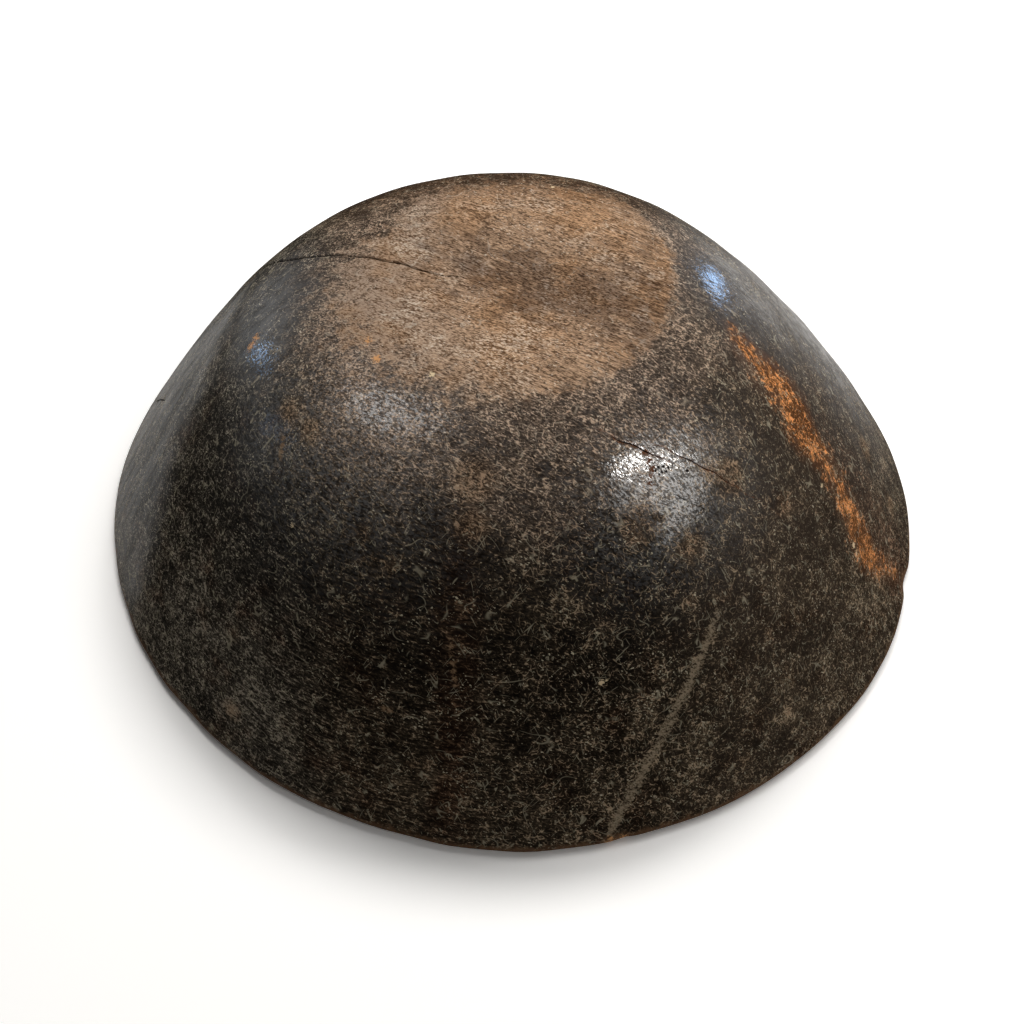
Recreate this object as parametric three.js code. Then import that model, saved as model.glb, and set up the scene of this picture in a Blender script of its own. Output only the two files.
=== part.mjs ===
// A bowl carved from one block of hardwood, standing upside down on its rim with the foot on top.
// Millimetres, +Z up. The origin is the middle of the oval rim, on the surface that the rim rests on.
// The grain runs along X.

import * as THREE from 'three';

// Plan of the bowl
const rimLength = 300; // outside the rim, along the oval
const rimWidth = 280; // outside the rim, across the oval, narrower because wood shrinks across its grain
const ovalTurn = -10; // degrees from X to the long axis of the oval
const footShiftX = -2; // the carver's foot sits a little off the middle of the rim
const footShiftY = -4;

// Outside profile, from the rim up to the foot
const height = 112; // rim to foot
const wallSlope = 58; // degrees from level, where the wall leaves the rim
const wallReach = 102; // length over which the wall holds that slope before it bends over
const shoulderReach = 45; // length over which the shoulder comes level before it meets the foot
const footRadius = 28; // flat that the bowl stands on when it is in use

// Rim
const lipWidth = 10; // outermost edge to the inner end of the lip's flat
const outerRound = 2.5; // worn outer corner of the lip
const innerRound = 2; // inner corner of the lip

// Hollow
const footThickness = 15; // wood left between the foot and the floor of the hollow
const hollowSlope = 60; // degrees from level, where the hollow leaves the lip
const hollowReach = 84; // length over which the hollow holds that slope
const floorReach = 46; // length over which the hollow comes level before it meets its floor
const floorRadius = 28; // flat floor of the hollow

// Shallow hollow worn into the foot
const dishLength = 44; // along the grain
const dishWidth = 30; // across the grain
const dishDepth = 1.6;

// Facets
const turnSteps = 72; // around the bowl
const wallSteps = 16; // along each wall curve
const roundSteps = 4; // along each corner of the lip
const footSteps = 6; // across the foot, from its edge to its middle
const floorSteps = 3; // across the floor of the hollow

const degrees = THREE.MathUtils.degToRad;
const hollowDepth = height - footThickness;

// Level run along a radius, from one radius to another at one height, without its first point.
function levelRun(fromRadius, toRadius, z, steps) {
  const points = [];
  for (let i = 1; i <= steps; i += 1) {
    points.push(new THREE.Vector2(THREE.MathUtils.lerp(fromRadius, toRadius, i / steps), z));
  }
  return points;
}

// Corner of the lip: an arc from straight down to the normal of the wall above it.
function lipCorner(centreRadius, round, endAngle) {
  const startAngle = -Math.PI / 2;
  const arc = new THREE.EllipseCurve(
    centreRadius, round, round, round, startAngle, endAngle, endAngle < startAngle,
  );
  return arc.getPoints(roundSteps);
}

// Wall curve: it leaves the lip at a slope and comes level where it meets the flat at the top.
function wallCurve(start, slope, reach, levelReach, flatRadius, topZ) {
  const lean = new THREE.Vector2(-Math.cos(slope), Math.sin(slope)).multiplyScalar(reach);
  const curve = new THREE.CubicBezierCurve(
    start,
    start.clone().add(lean),
    new THREE.Vector2(flatRadius + levelReach, topZ),
    new THREE.Vector2(flatRadius, topZ),
  );
  return curve.getPoints(wallSteps).slice(1);
}

// Half section: from the middle of the hollow down to the lip, round it and up the outside to the foot.
function halfSection() {
  const rimRadius = rimLength / 2;
  const slopeOutside = degrees(wallSlope);
  const slopeInside = degrees(hollowSlope);

  const outerCorner = lipCorner(rimRadius - outerRound, outerRound, Math.PI / 2 - slopeOutside);
  const outside = wallCurve(
    outerCorner.at(-1), slopeOutside, wallReach, shoulderReach, footRadius, height,
  );
  const foot = levelRun(footRadius, 0, height, footSteps);

  const innerCorner = lipCorner(rimRadius - lipWidth, innerRound, -Math.PI / 2 - slopeInside);
  const inside = wallCurve(
    innerCorner.at(-1), slopeInside, hollowReach, floorReach, floorRadius, hollowDepth,
  );
  const floor = levelRun(floorRadius, 0, hollowDepth, floorSteps);

  const downHollow = [...innerCorner, ...inside, ...floor].reverse();
  return [...downHollow, ...outerCorner, ...outside, ...foot];
}

// Worn hollow in the foot: deepest in the middle, level with the foot at the edge of its ellipse.
function wearFoot(geometry) {
  const places = geometry.attributes.position;
  for (let i = 0; i < places.count; i += 1) {
    const along = places.getX(i) / (dishLength / 2);
    const across = places.getY(i) / (dishWidth / 2);
    const inside = Math.max(0, 1 - along * along - across * across);
    const aboveHollow = places.getZ(i) > hollowDepth;
    if (aboveHollow) places.setZ(i, places.getZ(i) - dishDepth * inside * inside);
  }
}

// The turned form is squeezed to an oval across its grain, then leans so that the foot is off centre.
function ovalAndLean(geometry) {
  const turn = degrees(ovalTurn);
  geometry.applyMatrix4(new THREE.Matrix4().makeRotationZ(-turn));
  geometry.applyMatrix4(new THREE.Matrix4().makeScale(1, rimWidth / rimLength, 1));
  geometry.applyMatrix4(new THREE.Matrix4().makeRotationZ(turn));
  geometry.applyMatrix4(new THREE.Matrix4().makeShear(
    0, 0, 0, 0, footShiftX / height, footShiftY / height,
  ));
}

function carvedBowl() {
  const geometry = new THREE.LatheGeometry(halfSection(), turnSteps);
  geometry.rotateX(Math.PI / 2);
  wearFoot(geometry);
  ovalAndLean(geometry);
  geometry.computeVertexNormals();
  const patinatedWood = new THREE.MeshStandardMaterial({ color: 0x3a3029, roughness: 0.5, metalness: 0 });
  const bowl = new THREE.Mesh(geometry, patinatedWood);
  bowl.name = 'bowl';
  return bowl;
}

const woodenBowl = new THREE.Group();
woodenBowl.add(carvedBowl());

export default woodenBowl;
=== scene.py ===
# Old hand-carved wooden bowl, standing upside down on its rim with the worn foot on top.
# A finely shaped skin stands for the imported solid, with its cracks, chips and hollows as real shapes.
# The dictionaries are in millimetres and degrees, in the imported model's frame.

import math

import bpy
import numpy as np
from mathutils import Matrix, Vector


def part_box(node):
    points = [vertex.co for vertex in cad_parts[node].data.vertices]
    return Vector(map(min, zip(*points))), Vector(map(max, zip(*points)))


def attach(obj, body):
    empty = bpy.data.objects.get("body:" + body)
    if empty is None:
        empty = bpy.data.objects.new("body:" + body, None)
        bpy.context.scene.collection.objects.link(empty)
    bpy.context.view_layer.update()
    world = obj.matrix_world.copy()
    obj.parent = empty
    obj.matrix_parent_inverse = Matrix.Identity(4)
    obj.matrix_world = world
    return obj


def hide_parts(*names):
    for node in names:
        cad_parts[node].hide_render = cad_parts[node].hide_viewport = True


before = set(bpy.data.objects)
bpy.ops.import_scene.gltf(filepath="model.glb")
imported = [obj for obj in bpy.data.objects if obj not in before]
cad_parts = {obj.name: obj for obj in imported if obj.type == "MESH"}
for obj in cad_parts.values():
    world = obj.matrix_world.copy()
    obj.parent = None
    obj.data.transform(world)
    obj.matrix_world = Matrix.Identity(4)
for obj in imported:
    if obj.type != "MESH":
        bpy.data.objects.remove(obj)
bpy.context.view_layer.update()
scene = bpy.context.scene
scene.view_settings.view_transform = "Standard"
print("frame loaded")

mm = 0.001  # metres


# Camera

cameraSetup = {
    "place": (0.2, -275.2, 384.1),
    "lookDown": 55.28,  # below level
    "lens": 43.23,
    "sensor": 36.0,
    "nearClip": 10.0,
}


def makeCamera(setup):
    data = bpy.data.cameras.new("bowlCamera")
    data.sensor_width = setup["sensor"]
    data.lens = setup["lens"]
    data.clip_start = setup["nearClip"] * mm
    camera = bpy.data.objects.new("bowlCamera", data)
    camera.location = [value * mm for value in setup["place"]]
    camera.rotation_euler = (math.radians(90 - setup["lookDown"]), 0, 0)
    scene.collection.objects.link(camera)
    scene.camera = camera


makeCamera(cameraSetup)
print("camera set")


# Shape of the bowl

bowlShape = {
    "rimLength": 300.0,
    "rimWidth": 280.0,
    "ovalTurn": -10.0,
    "footShift": (-2.0, -4.0),
    "height": (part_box("bowl")[1][2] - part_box("bowl")[0][2]) / mm,
    "wallSlope": 58.0,
    "wallReach": 102.0,
    "shoulderReach": 45.0,
    "footRadius": 28.0,
    "lipWidth": 10.0,
    "outerRound": 2.5,
    "innerRound": 2.0,
    "footThickness": 15.0,
    "hollowSlope": 60.0,
    "hollowReach": 84.0,
    "floorReach": 46.0,
    "floorRadius": 28.0,
}

# Spacing of the skin's rows, in millimetres along the section, and of its columns, in degrees round it
skinSteps = {
    "insideRow": 6.5,
    "lipRow": 0.9,
    "wallRow": 2.2,
    "crackRow": 0.52,
    "crackBand": (84.0, 108.0),  # heights between which the shoulder's cracks lie
    "bandFade": (4.0, 3.0),  # heights over which the rows close up at its two ends
    "lipFade": 4.0,  # length over which they close up beside the lip
    "column": 1.3,
    "columnFade": 3.0,  # degrees over which the columns close up
    "fineColumns": (  # from, to, spacing
        (147.0, 164.0, 0.24),  # long crack
        (-62.0, -36.0, 0.29),  # cracks on the shoulder
        (-19.0, -14.0, 0.6),  # notch in the rim
        (-78.0, -73.0, 0.5),  # chip in the rim
    ),
}

# Hollow worn into the foot: a trough along the grain
footTrough = {"centre": (7.0, 0.5), "turn": -24.0, "halfLength": 40.0, "halfWidth": 18.0, "depth": 2.2}

# Places where the carver took a little more or left a little more: centre, reach, lift
carvedSwells = (
    ((-105.0, 22.0, 66.0), 26.0, -1.2),
    ((-3.0, -141.0, 4.0), 30.0, 0.9),
    ((-146.0, -30.0, 4.0), 28.0, 0.8),
)

# Cracks opened as the wood dried: points, places where fibres bridge them, half width, depth, shares of the
# length over which the ends close up, and the sheet of finish values that holds each, so that neighbours
# never share one
dryingCracks = {
    "longCrack": {
        "points": ((-99, 48, 63), (-92.5, 42.9, 72), (-80, 32, 89), (-70, 23, 99.5), (-53, 15.6, 108.6),
                   (-38, 10.3, 111.5), (-26, 5.5, 112), (-13, 2.6, 112)),
        "bridges": ((-52.6, 15.4, 108.7), (-43.8, 12.3, 110.6)),
        "halfWidth": 0.26, "depth": 0.7, "head": 0.05, "tail": 0.35, "sheet": 0,
    },
    "wallNick": {
        "points": ((-136, 28, 20), (-131, 21, 30), (-126, 13, 39)),
        "bridges": (),
        "halfWidth": 0.36, "depth": 0.5, "head": 0.3, "tail": 0.5, "sheet": 0,
    },
    "shoulderCrackLow": {
        "points": ((28, -55, 105.8), (31.8, -56.5, 104.4), (37.3, -57.6, 102.4), (46.5, -59.2, 98.2)),
        "bridges": (),
        "halfWidth": 0.22, "depth": 0.06, "head": 0.4, "tail": 0.4, "sheet": 1,
    },
    "shoulderCrackHigh": {
        "points": ((44, -56, 100.8), (49.3, -57, 98), (54.8, -57.4, 95), (61, -58.4, 90.6),
                   (68.5, -59.2, 84.8)),
        "bridges": (),
        "halfWidth": 0.22, "depth": 0.06, "head": 0.3, "tail": 0.6, "sheet": 2,
    },
    "hairCrack": {
        "points": ((43, -67, 95), (48.5, -67.1, 91.8), (55.6, -67.6, 87.4), (63.5, -67.9, 82)),
        "bridges": ((46.5, -67.1, 93), (53, -67.4, 89), (58, -67.7, 85.8)),
        "halfWidth": 0.12, "depth": 0.03, "head": 0.3, "tail": 0.3, "sheet": 0,
    },
}
crackSetup = {
    "sheets": 3,
    "rustySheets": (1, 2),
    "farAway": 50.0,  # distance stated where no crack is near
    "wander": 0.3,
    "carryOn": 30.0,  # length over which the line of a crack runs on, closed, past its ends
    "mostClosed": -9.0,
    "bridgeReach": 0.55,
    "bridgeWidths": 1.4,  # half widths that a bridge takes away
    "lip": 0.15,  # worn edge beside the opening
    "leastWidth": 0.05,
    "endDepth": 0.2,  # share of the depth where the opening closes
}

# Small losses of wood: centre, radius, depth
losses = (
    ((142.0, -41.0, 5.0), 5.0, 1.8),
    ((35.4, -135.9, 3.0), 3.2, 0.7),
    ((43.2, -73.9, 88.9), 1.4, 0.3),
    ((137.6, -38.0, 14.4), 1.3, 1.0),
)

# Long marks that the finish follows: points, then shares of the length and the half width there
longMarks = {
    "streak": {
        "points": ((69.7, -11.7, 100.6), (79.5, -19.3, 92.7), (88, -23.5, 83.5), (93.6, -31, 76),
                   (100.5, -34.4, 67), (108, -39.1, 55.6), (118.2, -47.1, 37.8), (123.3, -49.6, 29.2),
                   (134.7, -45, 15.4), (141.7, -43.3, 6)),
        "widths": ((0, 1.5), (0.16, 6.0), (0.28, 8.0), (0.36, 4.0), (0.46, 2.8), (0.7, 5.0), (0.8, 2.6),
                   (0.92, 0.5), (1, -2)),
        "wander": 0.8,
    },
    "stain": {
        "points": ((98, -22, 73), (114, -28, 52), (125.6, -35.5, 33), (139, -42, 10)),
        "widths": ((0, 3), (0.5, 10), (1, 12)),
        "wander": 2.0,
    },
    "scuff": {
        "points": ((62.4, -88.5, 61.6), (54.3, -104, 47), (44.5, -119, 30), (31.7, -135.8, 7)),
        "widths": ((0, 0.8), (0.3, 1.3), (0.7, 1.5), (1, 1.3)),
        "wander": 0.3,
    },
    "redBand": {
        "points": ((-13.5, -76, 97), (-15.6, -101, 67), (-17, -115.6, 44.2), (-19.2, -127, 24.5),
                   (-20, -135, 8)),
        "widths": ((0, 5), (0.3, 7), (1, 6)),
        "wander": 2.0,
    },
}

# Line up to which the left wall is rubbed smooth from behind, so that it shows the pale floor
sheenEdge = {
    "points": ((-92.6, 16.5, 82.7), (-97.8, -2.7, 79.1), (-102.5, -14.1, 72.2), (-111.5, -23.6, 58),
               (-116.9, -35.3, 45.3), (-124.3, -47.6, 27), (-130, -55, 12.9)),
    "wander": 1.5,
    "soft": 14.0,
    "curve": 1.5,
    "reach": (60.0, 120.0),  # full up to the first distance behind the line, nothing past the second
    "carryOn": 30.0,  # fades out over this much past the ends of the line
    "strength": 0.27,
}

# Places rubbed to a gloss by hands: centre, reach, strength, and the share of it that is smooth
polishedPlaces = (
    ((44.5, -63.5, 97.0), 27.0, 1.0, 0.0),
    ((62.0, -60.0, 89.0), 18.0, 0.3, 0.6),
    ((-40.0, -46.0, 107.0), 36.0, 0.9, 0.0),
    ((-74.0, 2.0, 99.0), 19.0, 0.7, 1.0),
    ((-77.0, -16.0, 97.0), 11.0, 0.5, 1.0),
    ((-74.0, -42.0, 92.0), 13.0, 0.3, 0.8),
    ((69.0, 8.0, 100.0), 24.0, 0.9, 0.6),
    ((112.0, 42.0, 60.0), 42.0, 0.55, 1.0),
)
polishElsewhere = 0.01

# Worn patch on the foot: angle round its centre, radius of its edge, and how crisp that edge is
footPatch = {
    "centre": (-6.0, 3.0),
    "edge": ((0, 57, 1.0), (46, 61, 0.9), (64, 51, 0.6), (95, 46, 0.5), (116, 46, 0.3), (141, 36, 0.25),
             (171, 47, 0.25), (206, 48, 0.2), (235, 45, 0.22), (262, 47, 0.35), (290, 50, 0.9),
             (323, 54, 1.0)),
}


# Steps from start to end whose spacing follows spacingAt: equal shares of the running sum of 1 / spacing.
def steppedPlaces(start, end, spacingAt, samples=8001):
    places = np.linspace(start, end, samples)
    density = 1.0 / spacingAt(places)
    total = np.concatenate([[0.0], np.cumsum((density[1:] + density[:-1]) / 2 * np.diff(places))])
    count = int(round(total[-1]))
    return np.interp(np.linspace(0.0, total[-1], count + 1), total, places)


# Corner of the lip: circle arc from straight down to the wall's normal.
def lipCorner(centreRadius, roundRadius, endAngle, samples=60):
    angle = np.linspace(-math.pi / 2, endAngle, samples)
    return np.column_stack([centreRadius + roundRadius * np.cos(angle), roundRadius * (1 + np.sin(angle))])


# Wall curve: cubic that leaves the lip at a slope and comes level at the flat on top, as the sum of four
# points, weighted (1 - t) cubed, 3 t (1 - t) squared, 3 t squared (1 - t) and t cubed.
def wallCurve(start, slope, reach, levelReach, flatRadius, topZ, samples=500):
    t = np.linspace(0, 1, samples)[:, None]
    lean = start + reach * np.array([-math.cos(slope), math.sin(slope)])
    level = np.array([flatRadius + levelReach, topZ])
    end = np.array([flatRadius, topZ])
    return (1 - t) ** 3 * start + 3 * (1 - t) ** 2 * t * lean + 3 * (1 - t) * t ** 2 * level + t ** 3 * end


# Half section from the middle of the hollow round the lip to the middle of the foot, as radius, height and
# whether it is outside, with rows crowded at the lip and at the shoulder's cracks.
def bowlSection(shape, steps):
    rimRadius = shape["rimLength"] / 2
    slopeOut = math.radians(shape["wallSlope"])
    slopeIn = math.radians(shape["hollowSlope"])
    hollowTop = shape["height"] - shape["footThickness"]
    outerCorner = lipCorner(rimRadius - shape["outerRound"], shape["outerRound"], math.pi / 2 - slopeOut)
    innerCorner = lipCorner(rimRadius - shape["lipWidth"], shape["innerRound"], -math.pi / 2 - slopeIn)
    outside = wallCurve(
        outerCorner[-1], slopeOut, shape["wallReach"], shape["shoulderReach"], shape["footRadius"],
        shape["height"])
    inside = wallCurve(
        innerCorner[-1], slopeIn, shape["hollowReach"], shape["floorReach"], shape["floorRadius"], hollowTop)
    hollow = np.vstack([innerCorner, inside, [[0.0, hollowTop]]])[::-1]
    line = np.vstack([hollow, outerCorner, outside, [[0.0, shape["height"]]]])
    line = line[np.concatenate([[True], np.hypot(*np.diff(line, axis=0).T) > 1e-9])]
    along = np.concatenate([[0.0], np.cumsum(np.hypot(*np.diff(line, axis=0).T))])
    lipStart = along[len(hollow) - len(innerCorner)]
    lipEnd = along[len(hollow) + len(outerCorner) - 2]

    def rowSpacing(place):
        height = np.interp(place, along, line[:, 1])
        low, high = steps["crackBand"]
        lowFade, highFade = steps["bandFade"]
        fade = steps["lipFade"]
        inBand = np.clip((height - low) / lowFade, 0, 1) * np.clip((high - height) / highFade, 0, 1)
        outer = steps["wallRow"] + (steps["crackRow"] - steps["wallRow"]) * inBand
        lip = np.clip(np.minimum(place - lipStart + fade, lipEnd + fade - place) / fade, 0, 1)
        spacing = np.where(place < lipStart, steps["insideRow"], outer)
        return spacing + (steps["lipRow"] - spacing) * lip

    rows = steppedPlaces(0.0, along[-1], rowSpacing)[1:-1]  # the two ends are single points
    radius, height = (np.interp(rows, along, line[:, axis]) for axis in (0, 1))
    return radius, height, rows > (lipStart + lipEnd) / 2


# Angles round the bowl, closer together where a crack or a loss at the rim needs them.
def bowlAngles(steps):
    fade = steps["columnFade"]

    def columnSpacing(angle):
        spacing = np.full_like(angle, steps["column"])
        for first, last, closer in steps["fineColumns"]:
            inBand = np.clip((angle - first) / fade + 1, 0, 1) * np.clip((last - angle) / fade + 1, 0, 1)
            spacing = np.minimum(spacing, steps["column"] + (closer - steps["column"]) * inBand)
        return spacing

    return np.radians(steppedPlaces(-180.0, 180.0, columnSpacing)[:-1])


# Turned form squeezed to an oval across the grain, then leaned so that the foot is off centre.
def ovalAndLean(x, y, z, shape):
    turn = math.radians(shape["ovalTurn"])
    along = x * math.cos(turn) + y * math.sin(turn)
    across = (y * math.cos(turn) - x * math.sin(turn)) * shape["rimWidth"] / shape["rimLength"]
    leanX, leanY = (shift / shape["height"] for shift in shape["footShift"])
    return np.stack([
        along * math.cos(turn) - across * math.sin(turn) + z * leanX,
        along * math.sin(turn) + across * math.cos(turn) + z * leanY,
        z,
    ], axis=-1)


# Unit normals of a grid that closes round its columns: cross product of the two grid directions.
def gridNormals(grid):
    aroundStep = np.roll(grid, -1, axis=1) - np.roll(grid, 1, axis=1)
    alongStep = np.gradient(grid, axis=0)
    normal = np.cross(aroundStep, alongStep)
    return normal / (np.linalg.norm(normal, axis=-1, keepdims=True) + 1e-12)


# Smooth unevenness between about -1 and 1: a sum of plane waves of one size in seeded directions.
def unevenness(points, size, seed, waves=9):
    draw = np.random.default_rng(seed)
    total = np.zeros(points.shape[:-1])
    for _ in range(waves):
        direction = draw.normal(size=3)
        direction *= 2 * math.pi / size / np.linalg.norm(direction)
        total += np.sin(points @ direction + draw.uniform(0, 2 * math.pi))
    return total / math.sqrt(waves)


# Smooth path through points: a cubic for each span, whose slope at a point is half the step between the
# points on either side of it.
def smoothPath(points, perSpan=8):
    given = np.array(points, float)
    held = np.vstack([2 * given[0] - given[1], given, 2 * given[-1] - given[-2]])
    t = np.linspace(0, 1, perSpan, endpoint=False)[:, None]
    spans = []
    for a, b, c, d in zip(held[:-3], held[1:-2], held[2:-1], held[3:]):
        spans.append(0.5 * (2 * b + (c - a) * t + (2 * a - 5 * b + 4 * c - d) * t ** 2
                            + (3 * b - a - 3 * c + d) * t ** 3))
    return np.vstack(spans + [given[-1:]])


# Nearest place on a path: distance, share of the length there, which runs past 0 and 1 where the path's ends
# are carried on straight, and, given normals, side as the sign of (path direction x offset) . normal. With
# normals the distance runs along the surface: offset less its part along the normal.
def pathField(points, path, normal=None, carryOn=0.0):
    line = smoothPath(path)
    if carryOn:
        ends = [line[0] - line[1], line[-1] - line[-2]]
        ends = [carryOn * end / np.linalg.norm(end) for end in ends]
        line = np.vstack([line[:1] + ends[0], line, line[-1:] + ends[1]])
    lengths = np.linalg.norm(np.diff(line, axis=0), axis=1)
    starts = np.concatenate([[0.0], np.cumsum(lengths)]) - carryOn
    nearest = np.full(points.shape[:-1], 1e9)
    share = np.zeros(points.shape[:-1])
    side = np.ones(points.shape[:-1])
    level = np.full(points.shape[:-1], 1e9)
    for start, end, length, before in zip(line[:-1], line[1:], lengths, starts):
        way = (end - start) / length
        reach = np.clip((points - start) @ way, 0, length)
        offset = points - start - reach[..., None] * way
        gap = np.linalg.norm(offset, axis=-1)
        closer = gap < nearest
        nearest = np.where(closer, gap, nearest)
        share = np.where(closer, (before + reach) / (starts[-1] - carryOn), share)
        if normal is not None:
            side = np.where(closer, np.sign(np.sum(np.cross(way, offset) * normal, axis=-1)), side)
            offset = offset - np.sum(offset * normal, axis=-1, keepdims=True) * normal
            level = np.where(closer, np.linalg.norm(offset, axis=-1), level)
    return nearest if normal is None else level, share, side


# Bell that is 1 at a centre and falls to nothing: exp of minus the squared distance over the reach.
def bell(points, centre, reach):
    return np.exp(-np.sum((points - np.array(centre)) ** 2, axis=-1) / reach ** 2)


# How far inside the worn patch of the foot a point lies: radius of the edge at its angle less its own radius.
def footField(points, patch):
    x = points[..., 0] - patch["centre"][0]
    y = points[..., 1] - patch["centre"][1]
    angle = np.degrees(np.arctan2(y, x)) % 360
    edge = np.array(patch["edge"], float)
    radius = np.interp(angle, edge[:, 0], edge[:, 1], period=360)
    crisp = np.interp(angle, edge[:, 0], edge[:, 2], period=360)
    return (radius - np.hypot(x, y)) * crisp


# Unevenness of the skin: size of its waves, how far they lift it, seed
toolWaves = ((70.0, 0.35, 3), (22.0, 0.12, 4))
lineWarp = {"size": 9.0, "seeds": (11, 12, 13)}  # waver of the lines that cracks, losses and marks follow
lossWander = 0.4
rimBand = 8.0  # height below which the skin moves level

# Wood lost from the streak: how deep, how far inside its edge, and size, cover and seed of the lost places
streakWear = {"depth": 0.3, "inside": 2.0, "size": 7.0, "cover": 0.4, "seed": 21}

# Shallow gouge marks in the hollow, drawn out along the grain, and the height over which they fade at the lip
hollowGouges = {"shrink": (0.45, 1, 1), "size": 16.0, "lift": 0.35, "depth": 0.3, "seed": 31, "lipFade": 10.0}


# Way the skin moves: along its normal, turned level near the rim, so that the rim stays on the floor.
def pushWays(base, normal):
    nearRim = np.clip(1 - base[..., 2] / rimBand, 0, 1)
    level = normal * np.array([1, 1, 0])
    level /= np.linalg.norm(level, axis=-1, keepdims=True) + 1e-9
    return normal + (level - normal) * nearRim[..., None]


# Trough in the foot: exp of minus the squared distances along and across it, over its half length and width.
def troughBell(base, trough):
    turn = math.radians(trough["turn"])
    fromX = base[..., 0] - trough["centre"][0]
    fromY = base[..., 1] - trough["centre"][1]
    along = (fromX * math.cos(turn) + fromY * math.sin(turn)) / trough["halfLength"]
    across = (fromY * math.cos(turn) - fromX * math.sin(turn)) / trough["halfWidth"]
    return np.exp(-along ** 2 - across ** 2)


# Cracks: half width falls with the root of the share of length left to an end, and depth with the root of the
# share of width left to a side. Gives the lift less the cracks and, for each sheet, the distance to its
# nearest crack, below nothing on one side, and that crack's half width.
def openCracks(lift, base, normal, isOuter, warp, setup):
    sides = np.full((setup["sheets"],) + base.shape[:-1], setup["farAway"])
    openings = np.full_like(sides, -setup["farAway"])
    for crack in dryingCracks.values():
        gap, share, side = pathField(base + setup["wander"] * warp, crack["points"], normal, setup["carryOn"])
        closing = np.minimum(share / crack["head"], (1 - share) / crack["tail"])
        closing = np.clip(closing, setup["mostClosed"], 1)
        opening = crack["halfWidth"] * np.sign(closing) * np.sqrt(np.abs(closing))
        for bridge in crack["bridges"]:
            opening -= setup["bridgeWidths"] * crack["halfWidth"] * bell(base, bridge, setup["bridgeReach"])
        inside = np.clip(1 - gap / np.maximum(opening + setup["lip"], setup["leastWidth"]), 0, 1)
        ending = np.clip(opening / crack["halfWidth"] + setup["endDepth"], 0, 1)
        lift = lift - crack["depth"] * np.sqrt(inside) * ending
        sheet = crack["sheet"]
        mine = isOuter & (opening - gap > openings[sheet] - np.abs(sides[sheet]))
        sides[sheet] = np.where(mine, gap * side, sides[sheet])
        openings[sheet] = np.where(mine, opening, openings[sheet])
    return lift, sides, openings


# Sheen of the left wall: full behind its line, fading across the line, far behind it and past its ends.
def wallSheen(base, normal, warp, edge):
    gap, share, side = pathField(base + edge["wander"] * warp, edge["points"], normal, edge["carryOn"])
    sheen = np.clip(0.5 - gap * side / edge["soft"], 0, 1) ** edge["curve"]
    sheen *= np.interp(gap, edge["reach"], (1, 0))
    sheen *= np.clip(1 - (np.abs(share - 0.5) - 0.5) / (share.max() - 1), 0, 1)
    return sheen * edge["strength"]


# The bowl's skin: the section carried round the oval, then moved along its normals by wear and carving.
def carveBowl():
    radius, height, outer = bowlSection(bowlShape, skinSteps)
    angles = bowlAngles(skinSteps)
    x = radius[:, None] * np.cos(angles)
    y = radius[:, None] * np.sin(angles)
    z = np.repeat(height[:, None], len(angles), axis=1)
    base = ovalAndLean(x, y, z, bowlShape)
    normal = gridNormals(base)
    isOuter = np.repeat(outer[:, None], len(angles), axis=1)
    warp = np.stack([unevenness(base, lineWarp["size"], seed) for seed in lineWarp["seeds"]], axis=-1)

    lift = sum(amount * unevenness(base, size, seed) for size, amount, seed in toolWaves)
    for centre, reach, amount in carvedSwells:
        lift += amount * bell(base, centre, reach)
    trough = troughBell(base, footTrough)
    lift -= footTrough["depth"] * trough
    lift, sides, openings = openCracks(lift, base, normal, isOuter, warp, crackSetup)
    for centre, reach, amount in losses:
        lift -= amount * bell(base + lossWander * warp, centre, reach)
    marks = {}
    for name, mark in longMarks.items():
        gap, share, _ = pathField(base + mark["wander"] * warp, mark["points"])
        marks[name] = np.interp(share, *np.transpose(mark["widths"])) - gap
    lost = np.clip(unevenness(base, streakWear["size"], streakWear["seed"]) + streakWear["cover"], 0, 1)
    lift -= streakWear["depth"] * np.clip(marks["streak"] / streakWear["inside"], 0, 1) * lost

    gouged = unevenness(base * np.array(hollowGouges["shrink"]), hollowGouges["size"], hollowGouges["seed"])
    gouged = hollowGouges["lift"] * np.abs(gouged) - hollowGouges["depth"]
    gouged *= np.clip(base[..., 2] / hollowGouges["lipFade"], 0, 1)
    skin = base + pushWays(base, normal) * np.where(isOuter, lift, gouged)[..., None]
    skin[..., 2] = np.maximum(skin[..., 2], 0)

    sheen = wallSheen(base, normal, warp, sheenEdge)
    polish = np.full_like(sheen, polishElsewhere)
    for centre, reach, strength, smooth in polishedPlaces:
        here = strength * bell(base, centre, reach)
        polish = polish + here * (1 - smooth)
        sheen = sheen + here * smooth
    fields = {
        "footField": footField(skin, footPatch),
        "troughField": trough,
        "polishField": polish,
        "sheenField": sheen,
        "plainPlace": base,
    }
    for name, inside in marks.items():
        fields[name + "Field"] = inside
    for sheet in range(crackSetup["sheets"]):
        fields[f"crackSide{sheet}"] = sides[sheet]
        fields[f"crackOpening{sheet}"] = openings[sheet]
    return skin, fields, outer


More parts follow.
